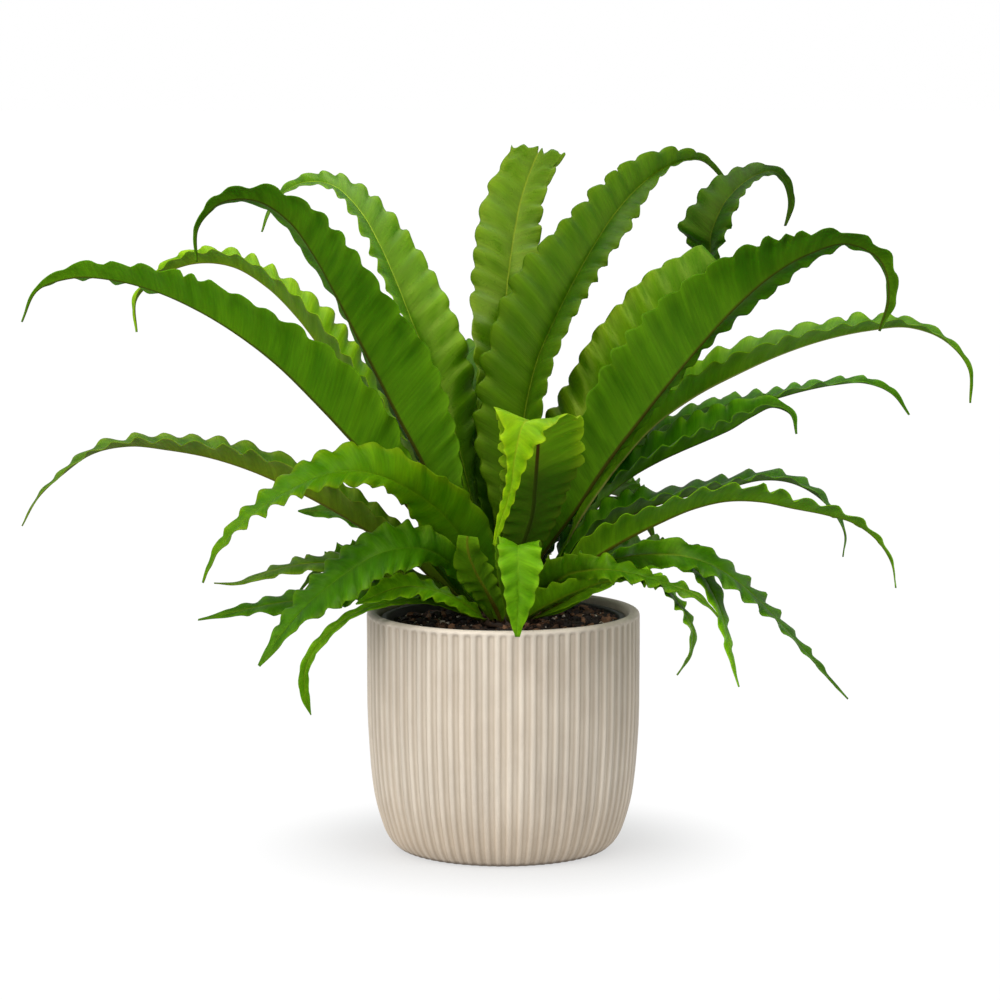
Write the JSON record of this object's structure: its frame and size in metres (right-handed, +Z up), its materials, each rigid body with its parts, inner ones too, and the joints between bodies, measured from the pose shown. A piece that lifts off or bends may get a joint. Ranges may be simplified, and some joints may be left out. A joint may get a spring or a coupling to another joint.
{
  "type": "potted fern",
  "caption": "Crisped strap-frond fern growing from one crown in a nursery pot, set inside a round vertically ribbed ceramic pot.",
  "frame": {"origin": "centre of the outer pot's flat base, on the surface it stands on", "axes": "+Z up, -Y towards the front as seen in the picture, +X to the right, along the plant's greatest spread"},
  "size_m": [0.5928, 0.3881, 0.438],
  "materials": {
    "pot_ceramic": "matt beige ceramic with a satin rim",
    "nursery_plastic": "black-grey nursery pot plastic",
    "potting_mix": "damp bark and peat mix with pale grit",
    "rootstock": "dark scaly fern rootstock",
    "frond_deep": "glossy deep green frond",
    "frond_mid": "glossy mid green frond",
    "frond_young": "satin young yellow-green frond",
    "frond_bright": "bright yellow-green upper face",
    "frond_dark": "dark green frond",
    "frond_olive": "olive grey-green lower face"
  },
  "bodies": {
    "root": {"outer_pot": "pot_ceramic", "nursery_pot": "nursery_plastic", "potting_mix": "potting_mix", "rootstock_crown": "rootstock", "frond_left_long": "frond_deep", "frond_left_rear": "frond_young", "frond_left_arching": "frond_dark", "frond_left_inner": "frond_mid", "frond_centre_upright": "frond_young", "frond_centre_right": "frond_mid", "frond_right_curled": "frond_dark", "frond_right_inner": "frond_young", "frond_right_arching": "frond_dark", "frond_right_long": "frond_mid", "frond_right_slender": "frond_dark", "frond_right_short": "frond_dark", "frond_right_mid_upper": "frond_dark", "frond_right_mid_lower": "frond_mid", "frond_right_drooping": "frond_deep", "frond_front_right_pale": "frond_young", "frond_right_hanging": "frond_mid", "frond_front_right_hanging": "frond_mid", "frond_front_left_arching": "frond_bright", "frond_left_low": "frond_olive", "frond_left_small": "frond_dark", "frond_front_left_broad": "frond_deep", "frond_left_pointed": "frond_deep", "frond_left_wavy": "frond_olive", "frond_left_hanging": "frond_olive", "frond_front_folded": "frond_bright", "frond_front_overhanging": "frond_bright", "frond_front_small": "frond_olive", "frond_front_left_low": "frond_mid", "frond_back_01": "frond_mid", "frond_back_02": "frond_deep", "frond_back_03": "frond_deep", "frond_back_04": "frond_mid", "frond_back_05": "frond_dark", "frond_back_06": "frond_dark", "frond_back_07": "frond_olive", "frond_back_08": "frond_deep", "frond_back_09": "frond_dark", "frond_back_10": "frond_dark", "frond_back_11": "frond_deep", "frond_back_12": "frond_deep"}
  },
  "joints": []
}
